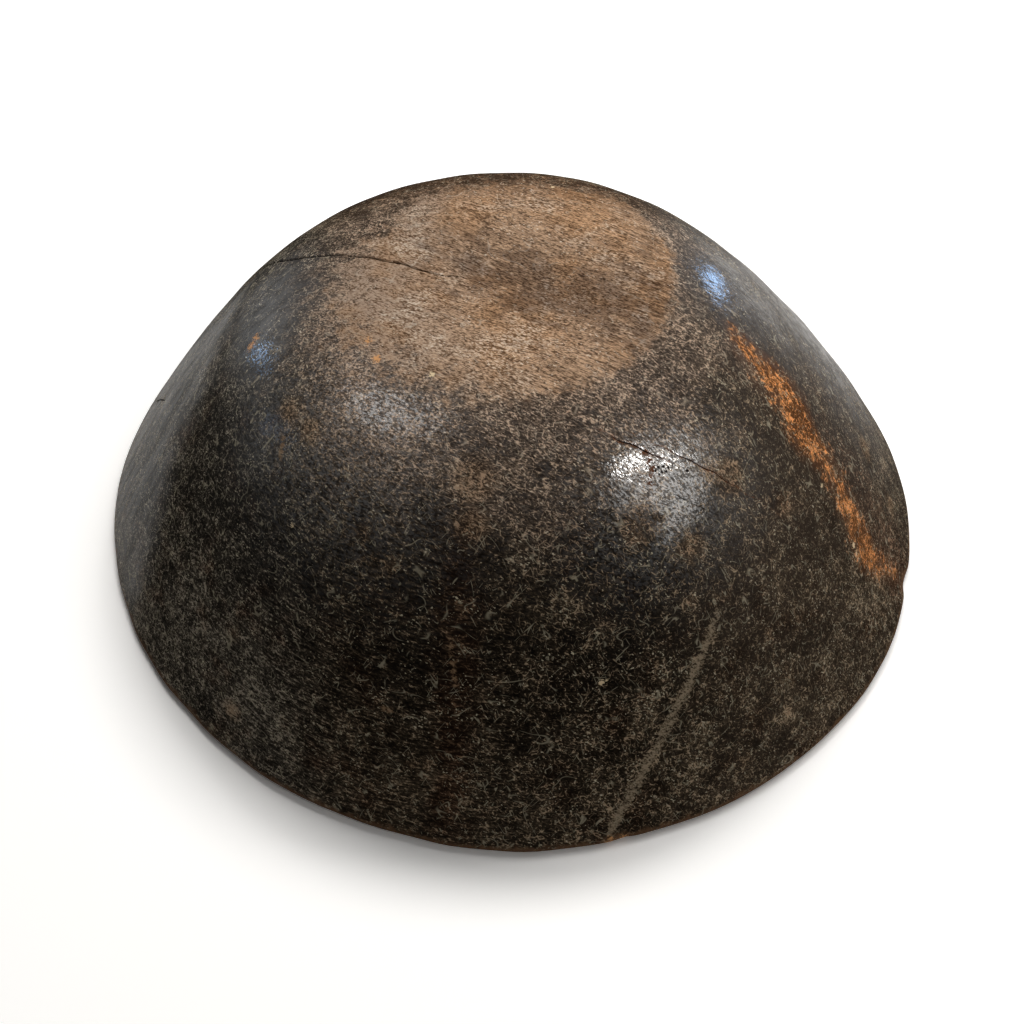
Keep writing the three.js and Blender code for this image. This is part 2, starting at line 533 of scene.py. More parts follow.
# Grid and its two poles as one closed mesh, each pole in the middle of its first or last row.
def closedMesh(name, grid, fields, outer):
    rows, columns = grid.shape[:2]
    poles = np.stack([grid[0].mean(axis=0), grid[-1].mean(axis=0)])
    points = np.vstack([grid.reshape(-1, 3), poles]) * mm
    here = np.arange(rows * columns).reshape(rows, columns)
    there = np.roll(here, -1, axis=1)
    quads = np.stack([here[:-1], there[:-1], there[1:], here[1:]], axis=-1).reshape(-1, 4)
    firstPole = np.full(columns, rows * columns)
    startFan = np.stack([firstPole, there[0], here[0]], axis=-1)
    endFan = np.stack([here[-1], there[-1], firstPole + 1], axis=-1)
    mesh = bpy.data.meshes.new(name)
    mesh.from_pydata(points.tolist(), [], quads.tolist() + startFan.tolist() + endFan.tolist())
    mesh.polygons.foreach_set("use_smooth", np.ones(len(mesh.polygons), bool))
    for fieldName, values in fields.items():
        kind, part = ("FLOAT", "value") if values.ndim == 2 else ("FLOAT_VECTOR", "vector")
        attribute = mesh.attributes.new(fieldName, kind, "POINT")
        everywhere = [values.ravel(), values[0].mean(axis=0).ravel(), values[-1].mean(axis=0).ravel()]
        attribute.data.foreach_set(part, np.concatenate(everywhere).astype(np.float32))
    finish = np.concatenate([
        np.repeat(np.where(outer[:-1], 0, 1), columns), np.ones(columns, int), np.zeros(columns, int)])
    mesh.polygons.foreach_set("material_index", finish.astype(np.int32))
    mesh.update()
    mesh.validate()
    return mesh


skin, skinFields, outerRows = carveBowl()
bowl = bpy.data.objects.new("carvedBowl", closedMesh("carvedBowl", skin, skinFields, outerRows))
scene.collection.objects.link(bowl)
print("bowl carved,", skin.shape[0], "rows by", skin.shape[1], "columns")


# Node building

def srgb(red, green, blue):
    values = [c / 255 for c in (red, green, blue)]
    return [c / 12.92 if c <= 0.04045 else ((c + 0.055) / 1.055) ** 2.4 for c in values] + [1.0]


def placeNode(tree, kind, inputs=None, **settings):
    node = tree.nodes.new(kind)
    for name, value in settings.items():
        setattr(node, name, value)
    for name, value in (inputs or {}).items():
        if isinstance(value, bpy.types.NodeSocket):
            tree.links.new(value, node.inputs[name])
        else:
            node.inputs[name].default_value = value
    return node


def calc(tree, operation, first, second=0.0, clamp=False):
    inputs = {0: first, 1: second}
    return placeNode(tree, "ShaderNodeMath", inputs, operation=operation, use_clamp=clamp).outputs[0]


def times(tree, first, *others):
    for other in others:
        first = calc(tree, "MULTIPLY", first, other)
    return first


def largest(tree, first, *others):
    for other in others:
        first = calc(tree, "MAXIMUM", first, other)
    return first


# What a mask leaves: 1 less the mask.
def without(tree, mask):
    return calc(tree, "SUBTRACT", 1.0, mask)


# Sum of values, each times its weight.
def weighted(tree, start, *terms):
    total = start
    for value, weight in terms:
        inputs = {0: value, 1: weight, 2: total}
        total = placeNode(tree, "ShaderNodeMath", inputs, operation="MULTIPLY_ADD").outputs[0]
    return total


def ramp(tree, value, low, high, toLow=0.0, toHigh=1.0):
    inputs = {"Value": value, "From Min": low, "From Max": high, "To Min": toLow, "To Max": toHigh}
    return placeNode(tree, "ShaderNodeMapRange", inputs, interpolation_type="SMOOTHSTEP").outputs[0]


def blend(tree, factor, first, second, mode="MIX"):
    inputs = {0: factor, 6: first, 7: second}
    return placeNode(tree, "ShaderNodeMix", inputs, data_type="RGBA", blend_type=mode).outputs[2]


def blendValue(tree, factor, first, second):
    return placeNode(tree, "ShaderNodeMix", {0: factor, 2: first, 3: second}, data_type="FLOAT").outputs[0]


def noise(tree, place, scale, detail=0.0, roughness=0.5):
    inputs = {"Vector": place, "Scale": scale, "Detail": detail, "Roughness": roughness}
    return placeNode(tree, "ShaderNodeTexNoise", inputs).outputs["Fac"]


# Noise as a swing about nothing: its value less a half.
def swingOf(tree, value):
    return calc(tree, "SUBTRACT", value, 0.5)


# Group with its inputs and outputs. An input without a value is a vector, all others are numbers.
def newGroup(name, inputs, outputs):
    tree = bpy.data.node_groups.new(name, "ShaderNodeTree")
    for socketName, value in inputs.items():
        kind = "NodeSocketVector" if value is None else "NodeSocketFloat"
        socket = tree.interface.new_socket(name=socketName, in_out="INPUT", socket_type=kind)
        if value is not None:
            socket.default_value = value
    for socketName in outputs:
        tree.interface.new_socket(name=socketName, in_out="OUTPUT", socket_type="NodeSocketFloat")
    return tree, tree.nodes.new("NodeGroupInput").outputs, tree.nodes.new("NodeGroupOutput").inputs


def useGroup(tree, group, **inputs):
    return placeNode(tree, "ShaderNodeGroup", inputs, node_tree=group).outputs


# Directions in which marks run, as turns of their own long axis, in degrees about X, Y and Z
markTurns = {
    "level": (0.0, 0.0, 0.0),  # round the bowl, on an unrolled place
    "fibres": (0.0, 12.0, -24.0),  # to the right, a little towards the camera and down
    "upward": (0.0, -40.0, 32.0),  # scratches up the front wall
    "downward": (0.0, 50.0, -49.0),  # scratches down the front wall
    "leftWall": (0.0, 57.0, -158.0),  # rubbing up and down the left wall
}
grainSizes = {"Fine": 1.0, "Middle": 2.6, "Coarse": 8.0}  # in widths of the fine grain


def turnOf(direction):
    return [math.radians(angle) for angle in markTurns[direction]]


# Place turned, drawn out along one direction, and moved along some axes by a seed.
def drawnOut(tree, given, seedAxes):
    offset = placeNode(tree, "ShaderNodeCombineXYZ", {axis: given["Seed"] for axis in seedAxes})
    drawn = placeNode(tree, "ShaderNodeCombineXYZ", {"X": given["Stretch"], "Y": 1.0, "Z": 1.0})
    return placeNode(tree, "ShaderNodeMapping", {
        "Vector": given["Place"], "Location": offset.outputs[0], "Rotation": given["Turn"],
        "Scale": drawn.outputs[0]}, vector_type="TEXTURE").outputs[0]


# Grain at three sizes: noise drawn out along one direction, each as a swing about nothing.
def makeGrain():
    tree, given, result = newGroup(
        "woodGrain", {"Place": None, "Turn": None, "Width": 0.55, "Stretch": 3.4, "Seed": 0.0}, grainSizes)
    drawn = drawnOut(tree, given, "XY")
    for name, widths in grainSizes.items():
        scale = calc(tree, "DIVIDE", 1.0 / widths, given["Width"])
        tree.links.new(swingOf(tree, noise(tree, drawn, scale, detail=1.0, roughness=0.6)), result[name])
    return tree


# Fibre marks: short curled lines where noise passes its middle, kept only where a second noise is high.
def makeFibreMarks():
    tree, given, result = newGroup("fibreMarks", {
        "Place": None, "Turn": None, "Size": 1.5, "Stretch": 1.6, "Thin": 0.05, "Level": 0.5,
        "Seed": 0.0}, ["Mark"])
    scale = calc(tree, "DIVIDE", 1.0, given["Size"])
    winding = noise(tree, drawnOut(tree, given, "YZ"), scale)
    line = ramp(tree, calc(tree, "ABSOLUTE", swingOf(tree, winding)), given["Thin"], 0.0)
    gateScale, gateSoft = 0.9, 0.12
    gate = noise(tree, given["Place"], times(tree, scale, gateScale))
    kept = ramp(tree, gate, given["Level"], calc(tree, "ADD", given["Level"], gateSoft))
    tree.links.new(times(tree, line, kept), result["Mark"])
    return tree


# Blotches: soft noise of one size, cut off between two levels.
def makeBlotches():
    tree, given, result = newGroup(
        "blotches", {"Place": None, "Size": 20.0, "Seed": 0.0, "Low": 0.4, "High": 0.6}, ["Blotch"])
    offset = placeNode(tree, "ShaderNodeCombineXYZ", {"X": given["Seed"], "Z": given["Seed"]}).outputs[0]
    moved = placeNode(tree, "ShaderNodeVectorMath", {0: given["Place"], 1: offset}, operation="ADD")
    scale = calc(tree, "DIVIDE", 1.0, given["Size"])
    soft = noise(tree, moved.outputs[0], scale, detail=3.0, roughness=0.6)
    tree.links.new(ramp(tree, soft, given["Low"], given["High"]), result["Blotch"])
    return tree


# Ragged edge: a distance in millimetres, roughened by noise and cut off softly at nothing.
def makeRaggedEdge():
    tree, given, result = newGroup(
        "raggedEdge", {"Place": None, "Distance": 0.0, "Ragged": 2.0, "Size": 2.0, "Soft": 0.8}, ["Mask"])
    scale = calc(tree, "DIVIDE", 1.0, given["Size"])
    rough = noise(tree, given["Place"], scale, detail=3.0, roughness=0.65)
    perSwing = 4.0  # noise swings by about a quarter either way
    moved = times(tree, swingOf(tree, rough), perSwing, given["Ragged"])
    edge = calc(tree, "ADD", given["Distance"], moved)
    mask = ramp(tree, edge, times(tree, given["Soft"], -1.0), given["Soft"])
    tree.links.new(mask, result["Mask"])
    return tree


woodGrain = makeGrain()
fibreMarks = makeFibreMarks()
blotches = makeBlotches()
raggedEdge = makeRaggedEdge()


def grain(tree, place, direction, width, stretch, seed):
    turn = turnOf(direction)
    return useGroup(tree, woodGrain, Place=place, Turn=turn, Width=width, Stretch=stretch, Seed=seed)


def fibres(tree, place, direction, size, stretch, thin, level, seed):
    lines = {"Size": size, "Stretch": stretch, "Thin": thin, "Level": level, "Seed": seed}
    return useGroup(tree, fibreMarks, Place=place, Turn=turnOf(direction), **lines)[0]


def blotch(tree, place, size, seed, low=0.4, high=0.6):
    return useGroup(tree, blotches, Place=place, Size=size, Seed=seed, Low=low, High=high)[0]


def ragged(tree, place, distance, rough, size, soft):
    return useGroup(tree, raggedEdge, Place=place, Distance=distance, Ragged=rough, Size=size, Soft=soft)[0]


# Distance inside the nearest of some round spots: greatest of radius less distance to centre.
def insideSpots(tree, place, spots):
    deepest = -50.0  # well outside all of them
    for centre, radius in spots:
        gap = placeNode(tree, "ShaderNodeVectorMath", {0: place, 1: centre}, operation="DISTANCE")
        deepest = largest(tree, deepest, calc(tree, "SUBTRACT", radius, gap.outputs["Value"]))
    return deepest


def startMaterial(name):
    material = bpy.data.materials.new(name)
    material.use_nodes = True
    tree = material.node_tree
    tree.nodes.clear()
    place = placeNode(tree, "ShaderNodeTexCoord").outputs["Object"]
    return material, tree, place


def inMillimetres(tree, place):
    return placeNode(tree, "ShaderNodeVectorMath", {0: place, "Scale": 1 / mm}, operation="SCALE").outputs[0]


# Place unrolled from the wall: distance round the bowl at one radius, then height. It starts behind the bowl.
def unrolled(tree, x, y, z, radius):
    turn = calc(tree, "ARCTAN2", x, times(tree, y, -1.0))
    return placeNode(tree, "ShaderNodeCombineXYZ", {"X": times(tree, turn, radius), "Y": z}).outputs[0]


def field(tree, name, output="Fac"):
    return placeNode(tree, "ShaderNodeAttribute", attribute_name=name).outputs[output]


# Relief of the gloss: stretch of its wrinkles, and of waves that many wrinkles wide, with their weight
glossRelief = {"stretch": 2.0, "waveSize": 5.0, "waveStretch": 1.3, "waveWeight": 2.0}


# Plain noise about nothing, drawn out down the wall.
def plainNoise(tree, place, size, stretch):
    inputs = {"Vector": place, "Rotation": turnOf("downward"), "Scale": (stretch, 1, 1)}
    turned = placeNode(tree, "ShaderNodeMapping", inputs, vector_type="TEXTURE").outputs[0]
    return swingOf(tree, noise(tree, turned, 1 / size, detail=1.0))


def endMaterial(tree, place, setup, colour, roughness, coat, height):
    bump = placeNode(tree, "ShaderNodeBump", {"Height": height, "Distance": setup["reliefDepth"] * mm})
    waveSize = setup["wrinkle"] * glossRelief["waveSize"]
    wrinkles = plainNoise(tree, place, setup["wrinkle"], glossRelief["stretch"])
    waves = plainNoise(tree, place, waveSize, glossRelief["waveStretch"])
    uneven = weighted(tree, wrinkles, (waves, glossRelief["waveWeight"]))
    coatBump = placeNode(tree, "ShaderNodeBump", {"Height": uneven, "Distance": setup["wrinkleDepth"] * mm})
    shader = placeNode(tree, "ShaderNodeBsdfPrincipled", {
        "Base Color": colour, "Roughness": roughness, "Coat Weight": coat, "Normal": bump.outputs[0],
        "Coat Normal": coatBump.outputs[0], "Coat Roughness": setup["coatRoughness"],
        "Coat IOR": setup["coatIor"], "Specular IOR Level": setup["specular"]})
    placeNode(tree, "ShaderNodeOutputMaterial", {"Surface": shader.outputs[0]})


# Finish of the outside: a near-black patina over brown wood, rubbed through on the foot

patina = {
    "wall": {"deep": srgb(6, 4, 3), "fleck": srgb(168, 147, 121), "spark": srgb(196, 186, 160)},
    "shoulder": {"deep": srgb(30, 23, 19), "fleck": srgb(196, 170, 147), "spark": srgb(204, 186, 164)},
    "foot": {"deep": srgb(91, 71, 56), "fleck": srgb(204, 170, 139), "spark": srgb(226, 212, 194)},
    # painted sheen: grey haze on the left of the foot
    "footPaintedSheen": srgb(156, 144, 134),
    "footGold": srgb(255, 236, 210),
    # darker smudges along the grain of the foot, and painted shade in its trough
    "footSmudgeAndShade": srgb(182, 180, 182),
    # paler ground of the right wall: a hazier brown, partly painted light from the right
    "hazyLitGround": srgb(50, 42, 36),
    "redGround": srgb(20, 9, 5),
    "redFleck": srgb(136, 104, 80),
    "streakGround": srgb(82, 52, 33),
    "streakFleck": srgb(244, 166, 102),
    "coolFleck": srgb(164, 153, 136),
    "stainFleck": srgb(150, 115, 91),
    "tanFleck": srgb(168, 138, 110),
    "backDeep": srgb(64, 50, 39),
    "backFleck": srgb(142, 108, 80),
    "scuff": srgb(150, 134, 112),
    "rimWood": srgb(106, 80, 59),
    "rust": srgb(128, 78, 48),
    "crack": srgb(12, 8, 6),
    "rimHeight": 4.0,  # bare wood along the lip
    "unrollRadius": 115.0,
    "fleckRough": (0.5, 0.75, 0.8),  # roughness of the ground, of the flecks and of dull wood
    "reliefDepth": 0.1,
    "wrinkle": 0.8,
    "wrinkleDepth": 0.08,
    "coatRoughness": 0.15,
    "coatIor": 1.6,
    "specular": 0.0,
}

# Grains in the finish: direction, width, stretch, seed
patinaGrains = {
    "thread": ("fibres", 0.45, 2.4, 0.0),
    "dot": ("fibres", 0.6, 1.6, 200.0),
    "line": ("fibres", 0.32, 9.0, 400.0),
    "rubbed": ("leftWall", 2.0, 16.0, 600.0),
    "glint": ("fibres", 0.5, 2.2, 800.0),
    "combed": ("level", 0.75, 5.0, 900.0),  # on the unrolled wall
}

# Marks, each the strongest of a few kinds: direction, size, stretch, half width, level that shows them, seed
patinaMarks = {
    "curls": (("fibres", 1.7, 2.2, 0.045, 0.46, 0.0), ("upward", 3.2, 1.5, 0.026, 0.46, 100.0),
              ("downward", 1.2, 1.6, 0.06, 0.48, 150.0)),
    "worms": (("fibres", 4.4, 1.7, 0.028, 0.57, 700.0),),
    "scratches": (("upward", 2.6, 9.0, 0.02, 0.57, 500.0), ("downward", 2.6, 9.0, 0.02, 0.57, 550.0)),
}

# Blotches: size, seed, and the levels of noise between which they come in
patinaBlotches = {
    "broad": (30.0, 5.0, 0.3, 0.7),
    "mottle": (9.0, 60.0, 0.25, 0.75),
    "bands": (16.0, 90.0, 0.5, 0.75),
    "gold": (24.0, 130.0, 0.42, 0.62),
    "dust": (16.0, 170.0, 0.5, 0.7),
}

# Mixtures of the above: a value to start from, none where it is a place or a distance, and each part's weight
patinaMixes = {
    "curledWall": (-1.35, {"curls": 2.4, "threadFine": 3.6, "lineFine": 2.0, "dotFine": 2.6, "dotMiddle": 2.8,
                           "threadCoarse": 1.6, "mottle": 1.2, "broad": 0.8}),
    "combedWall": (-0.85, {"curls": 1.4, "combedFine": 4.6, "combedMiddle": 1.8, "dotFine": 2.8,
                           "threadFine": 2.8, "dotMiddle": 1.8, "mottle": 0.8, "broad": 0.5}),
    "shoulder": (-0.95, {"curls": 1.9, "threadFine": 6.0, "dotFine": 4.4, "lineFine": 2.0, "dotMiddle": 2.2,
                         "threadCoarse": 1.2, "mottle": 0.7, "broad": 0.7}),
    "footLines": (0.38, {"lineFine": 2.4, "lineMiddle": 1.2, "threadFine": 1.4, "dotFine": 0.9,
                         "lineCoarse": 0.8, "curls": 0.2, "mottle": 0.16}),
    "sparks": (-0.4, {"mottle": 0.35, "dotFine": 2.6, "threadMiddle": 0.8}),
    "frayed": (0.0, {"threadFine": 2.0, "dotFine": 1.6, "dotMiddle": 1.2}),
    "rubbing": (0.0, {"rubbedFine": 1.0, "rubbedMiddle": 1.2, "dotFine": 0.5}),
    "glitter": (0.0, {"glintFine": 1.0, "glintMiddle": 0.6, "curls": -0.05}),
    "streakEdge": (None, {"dotMiddle": 14.0, "dotCoarse": 14.0}),
    "footDust": (None, {"dotFine": 1.5}),
    # smudges along the grain, with painted shade where the trough lies
    "smudgeAndShade": (None, {"trough": 0.95, "lineCoarse": 1.8, "dotCoarse": 1.2}),
    "scuffEdge": (None, {"frayed": 1.6}),
    "relief": (0.0, {"curls": 0.2, "threadMiddle": 1.4, "threadCoarse": 1.6}),
}

# Ranges of place, height, distance or mixture over which looks change: from, to, and the values there if they
# aren't 0 and 1
patinaRanges = {
    "shoulderBehind": (30.0, 62.0, 0.0, 14.0),  # over Y, added to where the rubbed shoulder starts
    "shoulderBeside": (40.0, 75.0, 94.5, 103.0),  # height at which it starts, over X either way
    "redBand": (-4.0, 5.0, 0.0, 0.8),
    "stain": (-6.0, 4.0),
    "tan": (-3.0, 3.0),
    "backEdge": (30.0, 60.0, 0.0, 0.9),  # brown back of the shoulder, over Y and height
    "backHeight": (84.0, 104.0),
    "streak": (-3.5, 3.5),
    "streakGround": (-6.0, 1.5, 0.0, 0.9),
    "combRight": (25.0, -25.0, 0.1, 1.0),  # combed front wall, over X twice and Y
    "combLeft": (-110.0, -70.0, 0.3, 1.0),
    "combBack": (40.0, -20.0),
    "farWall": (0.0, 60.0),  # calmer wall behind, over Y and height
    "farHeight": (95.0, 75.0),
    "wallLevel": (20.0, 60.0, -2.25, -2.85),  # level of the flecks, over height
    "leftLevel": (-35.0, -85.0, 0.0, 0.55),  # added on the left, over X
    "streakLevel": (100.0, 130.0, -1.45, -1.2),
    "wallSpread": (30.0, 80.0, 1.25, 1.1),  # spread of the flecks, over X
    "streakSpread": (100.0, 130.0, 1.7, 0.8),
    "sheenFlecks": (0.1, 0.5, 1.0, 0.35),  # flecks that are left under the sheen
    "sparks": (0.26, 0.5),
    "hazyLitRight": (35.0, 85.0),  # paler, hazier ground of the right wall, partly painted light from the right, over X and height
    "hazyLitHeight": (20.0, 75.0, 0.5, 1.0),
    "coolLeft": (-45.0, -80.0),
    "paintedSheenLeft": (0.0, -50.0, 0.0, 0.6),  # painted sheen: a grey haze on the left of the foot, over X and its lines
    "paintedSheenLines": (0.0, 0.9),
    "dustLines": (0.4, 1.0, 0.0, 0.6),
    # smudges on the foot, with painted shade in its trough
    "smudgeRight": (15.0, 45.0, 0.0, 0.4),
    "smudgeAndShade": (0.2, 1.0),
    "scuff": (-0.9, 1.0),
    "scuffFibres": (-0.5, 0.4, 0.4, 1.0),
    "crack": (-0.1, 0.1),
    "rubbing": (-0.28, 0.28, 0.65, 1.1),
    "glitter": (-0.1, 0.12, 0.15, 1.1),
}

# Ragged edges of zones: how far noise moves the edge, size of the noise, softness
patinaEdges = {
    "shoulder": (7.0, 14.0, 15.0),
    "foot": (3.2, 4.0, 2.4),
    "rim": (1.6, 4.0, 1.2),
    "rust": (0.5, 1.2, 0.4),
}

# Share of a mark or colour that shows where it is strongest
patinaShares = {
    "redBands": 0.6, "backGround": 0.7, "stainFlecks": 0.7, "tanFlecks": 0.7, "scratches": 0.5, "worms": 0.4,
    "gold": 0.55, "rim": 0.8, "rust": 0.8, "dullStreak": 0.9, "dullTan": 0.8,
}

# What zones add to the level and the spread of the flecks, or set it to on the shoulder
fleckLevels = {"shoulder": -1.6, "farWall": -0.6, "tan": 0.5, "wallTan": 0.85, "stain": 0.35}
fleckSpreads = {"shoulder": 0.95, "farWall": -0.15}

# Patches where the brown wood shows through as flecks: centre, radius
tanPatches = (
    ((-10.3, -68.5, 101.8), 6.5), ((-11.2, -78.6, 94.0), 5.0), ((-66.0, -40.0, 97.7), 4.0),
    ((-59.5, -47.4, 98.3), 4.0), ((-34.8, -84.7, 81.6), 2.5), ((-14.6, -95.0, 75.0), 2.0),
    ((-15.5, -102.0, 65.5), 2.0), ((37.3, -76.0, 89.7), 7.0), ((52.7, -77.0, 80.8), 5.0),
    ((58.5, -58.0, 92.3), 2.5), ((65.0, -57.5, 88.0), 6.0), ((-91.6, -99.4, 16.4), 3.0),
    ((-88.6, -84.1, 39.8), 2.0), ((-39.5, -82.6, 81.9), 2.0), ((-43.0, -76.3, 86.7), 2.0),
    ((53.3, -88.9, 67.9), 1.6), ((80.4, -89.3, 45.4), 2.0), ((89.3, -102.2, 20.1), 1.6),
    ((74.5, -116.1, 14.5), 2.0), ((124.7, -10.8, 40.6), 5.0), ((136.7, -20.8, 21.1), 4.0),
    ((85.0, -56.5, 72.0), 4.0),
)

# Small spots in the finish: colour, strength, how far grain moves their edge, its softness, how dull they
# are, centres with radii
patinaSpots = {
    "orange": {
        "colour": srgb(224, 164, 108), "strength": 0.85, "ragged": 2.0, "soft": 0.6, "dull": 0.6, "spots": (
            ((-82.3, -10.4, 94.0), 1.3), ((-80.8, -7.8, 95.4), 1.2), ((-43.0, -23.0, 110.5), 0.8),
            ((-40.0, -30.0, 110.0), 0.8), ((31.0, -136.5, 2.5), 1.6), ((35.4, -136.0, 2.0), 1.5)),
    },
    "pale": {
        "colour": srgb(228, 206, 168), "strength": 0.9, "ragged": 0.8, "soft": 0.2, "dull": 0.0, "spots": (
            ((113.7, -51.2, 41.4), 0.9), ((99.4, -43.2, 64.2), 0.6), ((13.8, 48.9, 107.0), 0.7),
            ((26.8, -108.2, 54.0), 0.8), ((28.3, -107.6, 54.4), 0.5), ((-23.0, -37.0, 111.0), 0.8),
            ((-65.8, -68.6, 79.1), 0.6), ((115.0, -52.5, 38.6), 0.6)),
    },
    "slash": {
        "colour": srgb(150, 122, 94), "strength": 0.75, "ragged": 1.0, "soft": 0.6, "dull": 0.8, "spots": (
            ((-68.5, -47.0, 93.0), 0.7), ((-68.7, -48.4, 92.0), 0.8), ((-68.9, -49.8, 90.9), 0.8),
            ((-69.2, -51.2, 89.7), 0.7), ((-18.0, -101.0, 67.5), 0.6), ((-17.8, -102.4, 65.3), 0.7),
            ((-17.5, -103.9, 63.1), 0.6), ((-17.2, -105.3, 60.9), 0.8), ((-17.0, -106.7, 58.7), 0.8),
            ((-16.8, -108.0, 56.5), 0.7), ((-16.6, -109.4, 54.3), 0.5), ((-38.8, -111.2, 43.2), 0.9),
            ((-37.0, -112.0, 42.8), 0.8)),
    },
    "seam": {
        "colour": srgb(104, 66, 44), "strength": 0.9, "ragged": 1.6, "soft": 0.4, "dull": 1.0, "spots": (
            ((39.0, -58.2, 101.5), 0.9), ((40.2, -60.1, 100.1), 0.8), ((41.0, -62.0, 98.6), 0.8),
            ((40.7, -64.1, 97.4), 0.7), ((40.4, -65.9, 96.3), 0.8)),
    },
    "pit": {
        "colour": srgb(20, 14, 11), "strength": 0.95, "ragged": 0.2, "soft": 0.12, "dull": 1.0, "spots": (
            ((41.9, -62.4, 98.0), 0.4), ((42.8, -61.4, 98.3), 0.42), ((43.9, -62.3, 97.3), 0.4),
            ((44.3, -60.8, 98.0), 0.42), ((45.2, -61.9, 97.0), 0.38), ((45.9, -60.7, 97.4), 0.4),
            ((43.1, -63.1, 97.1), 0.36), ((51.7, -60.1, 95.0), 0.5)),
    },
}


# Value carried over one of the ranges.
def over(tree, name, value):
    return ramp(tree, value, *patinaRanges[name])


# One of the mixtures, from its own start or from a value.
def mixed(tree, name, parts, value=None):
    start, weights = patinaMixes[name]
    terms = ((parts[part], weight) for part, weight in weights.items())
    return weighted(tree, start if value is None else value, *terms)


def share(tree, name, mask):
    return times(tree, mask, patinaShares[name])


# Everything that varies over the outside: place and height, grains at their three sizes, marks and blotches.
def patinaParts(tree, place):
    spot = placeNode(tree, "ShaderNodeSeparateXYZ", {0: place}).outputs
    wall = unrolled(tree, spot["X"], spot["Y"], spot["Z"], patina["unrollRadius"])
    parts = {"x": spot["X"], "y": spot["Y"], "height": spot["Z"]}
    for name, setup in patinaGrains.items():
        sizes = grain(tree, wall if name == "combed" else place, *setup)
        parts.update({name + size: sizes[size] for size in grainSizes})
    for name, kinds in patinaMarks.items():
        parts[name] = largest(tree, *(fibres(tree, place, *kind) for kind in kinds))
    for name, setup in patinaBlotches.items():
        parts[name] = blotch(tree, place, *setup)
    for name in ("footLines", "frayed"):
        parts[name] = mixed(tree, name, parts)
    parts["sheen"] = field(tree, "sheenField")
    parts["trough"] = field(tree, "troughField")
    return parts


# Zones of the outside as masks that are 1 inside and 0 outside.
def patinaZones(tree, place, parts):
    x, y, height = (parts[name] for name in ("x", "y", "height"))
    aboveEdge = calc(tree, "SUBTRACT", height, over(tree, "shoulderBehind", y))
    aboveEdge = calc(tree, "SUBTRACT", aboveEdge, over(tree, "shoulderBeside", calc(tree, "ABSOLUTE", x)))
    shoulder = ragged(tree, place, aboveEdge, *patinaEdges["shoulder"])
    tan = over(tree, "tan", insideSpots(tree, field(tree, "plainPlace", "Vector"), tanPatches))
    redBand = over(tree, "redBand", field(tree, "redBandField"))
    red = largest(tree, share(tree, "redBands", parts["bands"]), redBand)
    inStreak = field(tree, "streakField")
    comb = times(tree, over(tree, "combRight", x), over(tree, "combLeft", x), over(tree, "combBack", y))
    return {
        "shoulder": shoulder,
        "foot": ragged(tree, place, field(tree, "footField"), *patinaEdges["foot"]),
        "red": times(tree, red, without(tree, shoulder)),
        "stain": over(tree, "stain", field(tree, "stainField")),
        "tan": tan,
        "wallTan": times(tree, tan, without(tree, shoulder)),
        "back": times(tree, over(tree, "backEdge", y), over(tree, "backHeight", height)),
        "streak": over(tree, "streak", mixed(tree, "streakEdge", parts, inStreak)),
        "streakGround": over(tree, "streakGround", inStreak),
        "combed": comb,
        "farWall": times(tree, over(tree, "farWall", y), over(tree, "farHeight", height)),
        "cool": times(tree, over(tree, "coolLeft", x), without(tree, shoulder)),
    }


# Strength of the flecks: e to the power of level plus swing times spread. The foot has lines along its grain.
def patinaFlecks(tree, parts, zones):
    x = parts["x"]
    swing = blendValue(
        tree, zones["combed"], mixed(tree, "curledWall", parts), mixed(tree, "combedWall", parts))
    swing = blendValue(tree, zones["shoulder"], swing, mixed(tree, "shoulder", parts))
    level = weighted(
        tree, over(tree, "wallLevel", parts["height"]), (over(tree, "leftLevel", x), 1.0),
        (zones["farWall"], fleckLevels["farWall"]))
    level = blendValue(tree, zones["shoulder"], level, fleckLevels["shoulder"])
    level = weighted(tree, level, *((zones[name], fleckLevels[name]) for name in ("tan", "wallTan", "stain")))
    level = blendValue(tree, zones["streak"], level, over(tree, "streakLevel", x))
    spread = weighted(tree, over(tree, "wallSpread", x), (zones["farWall"], fleckSpreads["farWall"]))
    spread = blendValue(tree, zones["shoulder"], spread, fleckSpreads["shoulder"])
    spread = blendValue(tree, zones["streak"], spread, over(tree, "streakSpread", x))
    flecks = calc(tree, "POWER", math.e, weighted(tree, level, (swing, spread)), True)
    flecks = times(tree, flecks, over(tree, "sheenFlecks", parts["sheen"]))
    return blendValue(tree, zones["foot"], flecks, calc(tree, "MAXIMUM", parts["footLines"], 0.0, True))
